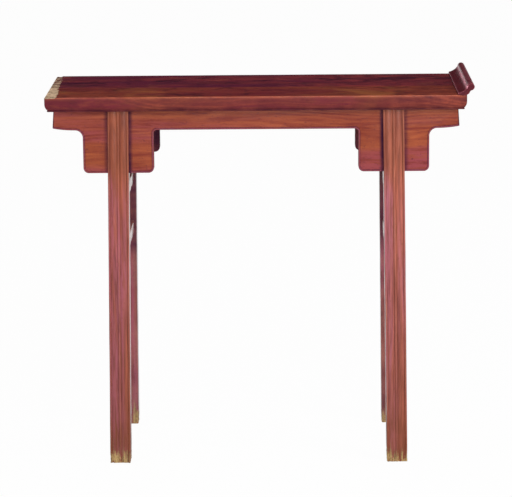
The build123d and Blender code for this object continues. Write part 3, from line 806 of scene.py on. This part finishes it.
middle_right = np.array([(inner_toe, -apron_deep), inner_head, notch_in_head, notch_in_top])
middle_left = (middle_right * [-1, 1])[::-1]
apron_middle = outline_of((middle_left[:-1], 0), (middle_left[-1:], 1), (middle_right, 0))
apron_wing = outline_of(([notch_out_top, notch_out_head, outer_head], 0), (wing[:-1], 1), (wing[-1:], 0),
                        ([(wing_end, 0)], 0))
half_web = np.concatenate([[(inner_toe, -apron_deep), inner_head, outer_head], wing, [(wing_end, 0)]])
apron_web = np.concatenate([half_web, (half_web * [-1, 1])[::-1]])

# Its colour for dirty places also paints the shade beside the legs, at the mitred ends, under the top and
# over the plates' back faces and edges.
frame_wood = lacquered_wood(
    "Apron lacquer with painted shade", (2.2, 26, 26), deep=(114, 38, 32), light=(167, 85, 51), bloom=(148, 65, 72),
    rubbed=(160, 84, 104), dirt=(47, 9, 45), gloss=0.38, bloom_axis=2, bloom_fade=(0.81, 0.66), shine=0.12,
    polish=0.1, offset=5.0, wander=0.02, painted_corner_shade=painted_shade_by_legs)
apron_plates = [
    moulded_plate(*apron_middle),
    moulded_plate(*apron_wing),
    moulded_plate(*mirrored(*apron_wing)),
    plain_plate(apron_web, -notch_deep, -sheet_deep),
]
spandrel_plates = [
    moulded_plate(*spandrel_inner),
    moulded_plate(*spandrel_outer),
    plain_plate(spandrel_web, -notch_deep, -sheet_deep),
]
for side, out in (("front", -1), ("rear", 1)):
    apron = bars("beaded_apron_" + side, *standing(apron_plates, out))
    finish_piece(apron, frame_wood, "frame_wood", "apron_" + side)
    for end_name, end in (("left", -1), ("right", 1)):
        spandrel = bars(f"beaded_spandrel_{side}_{end_name}", *standing(spandrel_plates, out, end))
        finish_piece(spandrel, frame_wood, "frame_wood", f"spandrel_{side}_{end_name}")

# --- End aprons ---
# A short apron closes each end between the mitred ends of the long ones, with the same bead along its foot.
# Its own ends are cut back along the same mitre.

end_reach, end_deep = 132.0, 39.5
tilt = np.hypot(1, side_splay)
end_plate = moulded_plate(*outline_of(([(-end_reach, 0)], 0), ([(-end_reach, -end_deep)], 1),
                                      ([(end_reach, -end_deep), (end_reach, 0)], 0)))
end_plate[0, :, 2] = -sheet_deep
u, v, w = end_plate[..., 0], end_plate[..., 1], end_plate[..., 2]
mitre = apron_face_y - side_splay * v + w
for end_name, end in (("left", -1), ("right", 1)):
    x = table_middle + end * (apron_end_x + (w - side_splay * v) / tilt)
    z = shoulder_z + (v + side_splay * w) / tilt
    points = np.concatenate([spread(x, np.clip(u, -mitre, mitre), z), end_plate[..., 3:]], -1)
    end_apron = bars("beaded_end_apron_" + end_name, points)
    finish_piece(end_apron, frame_wood, "frame_wood", "end_apron_" + end_name)

# --- Stretchers ---
# Two rails at each end, tenoned between the front and the rear leg, with rounded arrises. They swell a
# little from place to place, and are rubbed along the arrises and darker over the last 7 mm next to the legs.

rail_half_wide, rail_half_high, pillow = 18.25, 14.5, 5.0
rail_heights = {"upper": 613.0, "lower": 491.0}
into_leg = 1.5
corner_x, corner_z = rail_half_wide - pillow, rail_half_high - pillow
rail_outline = np.concatenate([
    round_corner((corner_x, -corner_z), pillow, -90, 0, 7),
    round_corner((corner_x, corner_z), pillow, 0, 90, 7),
    round_corner((-corner_x, corner_z), pillow, 90, 180, 7),
    round_corner((-corner_x, -corner_z), pillow, 180, 270, 7),
])
across_rail, up_rail = rail_outline.T[:, None]
cornered = np.minimum((np.abs(across_rail) - pillow) / corner_x, np.abs(up_rail) / rail_half_high)
rail_worn = smooth_step(cornered, 0.6, 0.85) * 0.6
stretcher_wood = lacquered_wood(
    "Stretcher lacquer", grain_along_y, deep=(116, 52, 44), light=(160, 88, 64), bloom=(140, 70, 74),
    rubbed=(196, 140, 124), dirt=(64, 22, 34), gloss=0.34, shine=0.2, polish=0.8)
for end_name, end in (("left", -1), ("right", 1)):
    for height_name, z in rail_heights.items():
        reach = leg_face_y - leg_depth + side_splay * (shoulder_z - z) + into_leg
        y = np.linspace(-reach, reach, 45)[:, None]
        swell = 1 - 0.012 * (1 + unevenness(y, across_rail * 3, pitch=60, seed=int(z) + end))
        x = table_middle + end * (leg_x + end_splay * (shoulder_z - z)) + across_rail * swell
        by_leg = smooth_step(np.abs(y), reach - 7, reach) * 0.9
        rail = bars(f"rounded_stretcher_{height_name}_{end_name}",
                    spread(x, y, z + up_rail * swell, rail_worn, by_leg, 0.0))
        finish_piece(rail, stretcher_wood, "frame_wood", f"stretcher_{height_name}_{end_name}")

# --- Floor and backdrop ---
# A plain white floor that runs up into a low white wall; above it the studio is dark, so that the lacquer
# keeps its depth. Both look plain white from every side, and the floor keeps a trace of the table's shadow.

floor_reach = 9
floor_glow = 0.97


def directly_seen(tree, rays):
    """1 for a ray from the camera, off a mirror or through glass, and 0 for one that only carries light."""
    through = math(tree, "MAXIMUM", rays["Is Glossy Ray"], rays["Is Transmission Ray"])
    return math(tree, "MAXIMUM", rays["Is Camera Ray"], through)


floor_mesh = bpy.data.meshes.new("studio_floor")
floor_corners = [(-floor_reach, -floor_reach, 0), (floor_reach, -floor_reach, 0),
                 (floor_reach, floor_reach, 0), (-floor_reach, floor_reach, 0)]
floor_mesh.from_pydata(floor_corners, [], [(0, 1, 2, 3)])
floor = bpy.data.objects.new("studio_floor", floor_mesh)
bpy.context.scene.collection.objects.link(floor)
floor_paint = bpy.data.materials.new("Studio floor")
floor_paint.use_nodes = True
tree = floor_paint.node_tree
tree.nodes.clear()
seen = directly_seen(tree, node(tree, "ShaderNodeLightPath").outputs)
matte = node(tree, "ShaderNodeBsdfDiffuse", Color=paint(238, 238, 238)).outputs[0]
glow = node(tree, "ShaderNodeEmission", Color=(1, 1, 1, 1), Strength=1.0).outputs[0]
mixed = node(tree, "ShaderNodeMixShader", i0=times(tree, seen, floor_glow), i1=matte, i2=glow).outputs[0]
tree.links.new(mixed, node(tree, "ShaderNodeOutputMaterial").inputs[0])
floor_mesh.materials.append(floor_paint)

surround = bpy.data.worlds.new("Studio surround")
bpy.context.scene.world = surround
surround.use_nodes = True
tree = surround.node_tree
tree.nodes.clear()
rays = node(tree, "ShaderNodeLightPath").outputs
seen = directly_seen(tree, rays)
direction = node(tree, "ShaderNodeTexCoord").outputs["Generated"]
height = node(tree, "ShaderNodeSeparateXYZ", i0=direction).outputs[2]
wall = ramp(tree, height, -0.01, 0.03, 1.0, 0.03)
seen_colour = blend(tree, rays["Is Glossy Ray"], (1, 1, 1, 1), wall)
brightness = blend(tree, seen, (0.4, 0.4, 0.4, 1), seen_colour)
backdrop = node(tree, "ShaderNodeBackground", Color=brightness, Strength=1.0).outputs[0]
tree.links.new(backdrop, node(tree, "ShaderNodeOutputWorld").inputs[0])

# --- Studio lights ---
# Large soft boxes: one high and one low in front, and one on either side. Each faces a point about two
# thirds of the way up the table.


def look_at(place, target):
    """The rotation that turns an object's -Z axis from place to target, with its Y axis up."""
    back = np.subtract(place, target) / np.linalg.norm(np.subtract(place, target))
    side = np.cross((0, 0, 1), back)
    side /= np.linalg.norm(side)
    turn = np.stack([side, np.cross(back, side), back], 1)
    return Matrix(turn.tolist()).to_4x4()


def soft_box(name, place, target_z, size, power):
    """A square area lamp at place that faces the point at height target_z above the origin. Lengths in
    metres, power in watts."""
    lamp = bpy.data.lights.new(name, "AREA")
    lamp.shape = "SQUARE"
    lamp.size = size
    lamp.energy = power
    box = bpy.data.objects.new(name, lamp)
    box.matrix_world = Matrix.Translation(place) @ look_at(place, (0, 0, target_z))
    bpy.context.scene.collection.objects.link(box)


soft_box("high_soft_box", (0.6, -3.1, 3.3), target_z=0.55, size=2.2, power=50)
soft_box("low_soft_box", (0.4, -4.2, 1.2), target_z=0.6, size=1.6, power=38)
soft_box("left_soft_box", (-3.2, -1.4, 1.7), target_z=0.6, size=1.8, power=18)
soft_box("right_soft_box", (3.2, -1.8, 2.0), target_z=0.6, size=1.8, power=58)

# --- Camera ---
# Long lens, a little above the top and almost square to the front.

yaw, pitch, roll_angle = np.radians([0.818, 13.488, -0.55])
camera_place = (0.06019, -5.06984, 1.67718)
ahead = np.array([-np.sin(yaw) * np.cos(pitch), np.cos(yaw) * np.cos(pitch), -np.sin(pitch)])
level_side = np.array([np.cos(yaw), np.sin(yaw), 0])
level_up = np.cross(level_side, ahead)
side_axis = level_side * np.cos(roll_angle) + level_up * np.sin(roll_angle)
up_axis = level_up * np.cos(roll_angle) - level_side * np.sin(roll_angle)
facing = Matrix(np.stack([side_axis, up_axis, -ahead], 1).tolist()).to_4x4()
lens = bpy.data.cameras.new("long_lens")
lens.lens = 159.69797
lens.sensor_width = 36.0
lens.clip_end = 50.0
viewer = bpy.data.objects.new("long_lens", lens)
viewer.matrix_world = Matrix.Translation(camera_place) @ facing
bpy.context.scene.collection.objects.link(viewer)
bpy.context.scene.camera = viewer
bpy.context.scene.view_settings.view_transform = "Standard"
